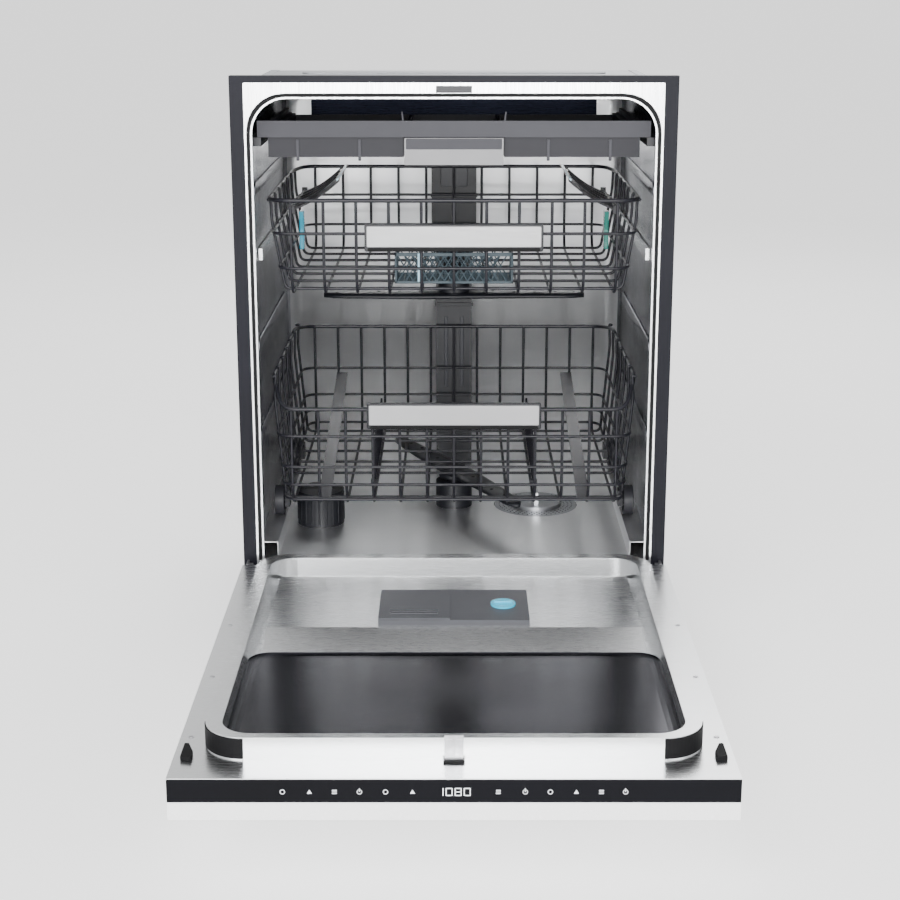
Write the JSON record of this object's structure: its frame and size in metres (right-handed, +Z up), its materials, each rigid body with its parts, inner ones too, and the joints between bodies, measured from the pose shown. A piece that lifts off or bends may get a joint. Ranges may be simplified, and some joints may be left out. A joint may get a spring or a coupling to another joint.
{
  "type": "built in dishwasher",
  "caption": "Full-size built in dishwasher with a drop-down door, two sliding wire racks, a cutlery tray, spray arms and a stainless tub.",
  "frame": {"origin": "middle of the footprint on the floor, with the door open and the racks in", "axes": "+X to the machine's right seen from the front, +Y to the back, +Z up"},
  "size_m": [0.598, 1.242, 0.818],
  "materials": {
    "stainless": "bright brushed",
    "galvanised": "satin grey sheet",
    "trim": "satin dark blue-grey",
    "base_plastic": "matte moulded",
    "black_rubber": "matte",
    "dark_plastic": "satin moulded",
    "tray_plastic": "satin grey moulded",
    "tray_grip": "satin light grey",
    "coated_wire": "smooth grey coating over steel wire",
    "handle_plate": "brushed, framed in black",
    "white_board": "white lacquer",
    "black_gloss": "gloss",
    "dispenser_plastic": "satin",
    "lever_blue": "satin translucent blue",
    "lever_teal": "satin translucent teal",
    "basket_blue": "satin slate blue",
    "salt_plastic": "satin",
    "filter_steel": "fine perforated sheet",
    "circuit": "circuit board",
    "hinge_steel": "zinc plated",
    "motor_metal": "cast"
  },
  "bodies": {
    "cabinet": {"levelling_feet": "black_rubber", "base_tray": "base_plastic", "kick_plate": "trim", "casing_panels": "galvanised", "side_trims": "trim", "top_trim": "trim", "tub_walls": "stainless", "tub_floor": "stainless", "wheel_ledges": "stainless", "front_frame": "stainless", "door_gasket": "black_rubber", "latch_housing": "dark_plastic", "sump_housing": "dark_plastic", "filter_plate": "filter_steel", "feed_duct": "dark_plastic", "lower_arm_post": "dark_plastic", "ceiling_spray": "dark_plastic", "upper_rails": "stainless", "tray_rails": "dark_plastic", "pumps": "motor_metal", "softener_tank": "base_plastic", "service_connections": "base_plastic", "hinge_plates": "hinge_steel"},
    "micro_filter": {"micro_filter": "filter_steel"},
    "salt_cap": {"salt_cap": "salt_plastic"},
    "lower_spray_arm": {"lower_spray_arm": "dark_plastic"},
    "door": {"furniture_panel": "white_board", "door_tray": "stainless", "control_panel": "black_gloss", "control_board": "circuit", "door_liner": "stainless", "corner_guards": "black_rubber", "latch_catch": "hinge_steel", "dispenser_body": "dispenser_plastic", "hinge_arms": "hinge_steel"},
    "dispenser_lid": {"dispenser_lid": "dispenser_plastic"},
    "rinse_aid_cap": {"rinse_aid_cap": "lever_blue"},
    "lower_rack": {"lower_rack_basket": "coated_wire", "lower_rack_handle": "handle_plate", "lower_rack_straps": "coated_wire", "lower_rack_fittings": "dark_plastic"},
    "front_wheels": {"front_wheels": "dark_plastic"},
    "rear_wheels": {"rear_wheels": "dark_plastic"},
    "fold_tines_left": {"fold_tines_left": "coated_wire"},
    "fold_tines_right": {"fold_tines_right": "coated_wire"},
    "upper_rack": {"upper_rack_basket": "coated_wire", "upper_rack_handle": "handle_plate", "upper_runners": "stainless", "upper_feed_tube": "dark_plastic", "cup_shelf_pins": "dark_plastic", "small_item_basket": "basket_blue"},
    "upper_spray_arm": {"upper_spray_arm": "dark_plastic"},
    "cup_shelf_left": {"cup_shelf_left": "tray_plastic"},
    "cup_shelf_right": {"cup_shelf_right": "tray_plastic"},
    "height_lever_left": {"height_lever_left": "lever_blue"},
    "height_lever_right": {"height_lever_right": "lever_teal"},
    "cutlery_tray": {"tray_frame": "tray_plastic", "cutlery_tray_sides": "tray_plastic", "cutlery_tray_centre": "tray_plastic", "tray_handle": "tray_grip"}
  },
  "joints": [
    {"name": "door_hinge", "type": "hinge", "parent": "cabinet", "child": "door", "pos_m": [0, 0.0575, 0.1345], "axis": [-1, 0, 0], "range_deg": [0, 90]},
    {"name": "lower_rack_slide", "type": "slide", "parent": "cabinet", "child": "lower_rack", "axis": [0, 1, 0], "range_m": [-0.54, 0]},
    {"name": "upper_rack_slide", "type": "slide", "parent": "cabinet", "child": "upper_rack", "axis": [0, 1, 0], "range_m": [-0.42, 0]},
    {"name": "cutlery_tray_slide", "type": "slide", "parent": "cabinet", "child": "cutlery_tray", "axis": [0, 1, 0], "range_m": [-0.36, 0]},
    {"name": "front_wheels_roll", "type": "hinge", "parent": "lower_rack", "child": "front_wheels", "pos_m": [0, 0.206, 0.1903], "axis": [-1, 0, 0], "range_deg": [-1440, 1440]},
    {"name": "rear_wheels_roll", "type": "hinge", "parent": "lower_rack", "child": "rear_wheels", "pos_m": [0, 0.467, 0.1903], "axis": [-1, 0, 0], "range_deg": [-1440, 1440]},
    {"name": "lower_arm_spin", "type": "hinge", "parent": "cabinet", "child": "lower_spray_arm", "pos_m": [0, 0.3365, 0.171], "axis": [0, 0, 1], "continuous": true},
    {"name": "upper_arm_spin", "type": "hinge", "parent": "upper_rack", "child": "upper_spray_arm", "pos_m": [0, 0.3365, 0.47784], "axis": [0, 0, 1], "continuous": true},
    {"name": "cup_shelf_left_fold", "type": "hinge", "parent": "upper_rack", "child": "cup_shelf_left", "pos_m": [-0.228, 0.2765, 0.628], "axis": [0, -1, 0], "range_deg": [0, 43]},
    {"name": "cup_shelf_right_fold", "type": "hinge", "parent": "upper_rack", "child": "cup_shelf_right", "pos_m": [0.228, 0.2765, 0.628], "axis": [0, 1, 0], "range_deg": [0, 43]},
    {"name": "tines_left_fold", "type": "hinge", "parent": "lower_rack", "child": "fold_tines_left", "pos_m": [-0.118, 0.3365, 0.21895], "axis": [0, 1, 0], "range_deg": [0, 80]},
    {"name": "tines_right_fold", "type": "hinge", "parent": "lower_rack", "child": "fold_tines_right", "pos_m": [0.118, 0.3365, 0.21895], "axis": [0, -1, 0], "range_deg": [0, 80]},
    {"name": "height_lever_left_press", "type": "hinge", "parent": "upper_rack", "child": "height_lever_left", "pos_m": [-0.234, 0.3885, 0.53994], "axis": [0, 1, 0], "range_deg": [0, 8], "stiffness_Nm_per_rad": 0.4},
    {"name": "height_lever_right_press", "type": "hinge", "parent": "upper_rack", "child": "height_lever_right", "pos_m": [0.234, 0.3885, 0.53994], "axis": [0, -1, 0], "range_deg": [0, 8], "stiffness_Nm_per_rad": 0.4},
    {"name": "dispenser_lid_slide", "type": "slide", "parent": "door", "child": "dispenser_lid", "axis": [0, 1, 0], "range_m": [0, 0.075]},
    {"name": "rinse_aid_cap_turn", "type": "hinge", "parent": "door", "child": "rinse_aid_cap", "pos_m": [0.063, -0.174, 0.167], "axis": [0, 0, 1], "range_deg": [0, 90]},
    {"name": "micro_filter_turn", "type": "hinge", "parent": "cabinet", "child": "micro_filter", "pos_m": [0.128, 0.3365, 0.123], "axis": [0, 0, 1], "range_deg": [0, 90]},
    {"name": "salt_cap_turn", "type": "hinge", "parent": "cabinet", "child": "salt_cap", "pos_m": [-0.202, 0.248, 0.169], "axis": [0, 0, 1], "range_deg": [0, 180]}
  ],
  "couplings": [
    {"joint": "front_wheels_roll", "follows": "lower_rack_slide", "rad_per_m": 45.455},
    {"joint": "rear_wheels_roll", "follows": "lower_rack_slide", "rad_per_m": 45.455}
  ]
}
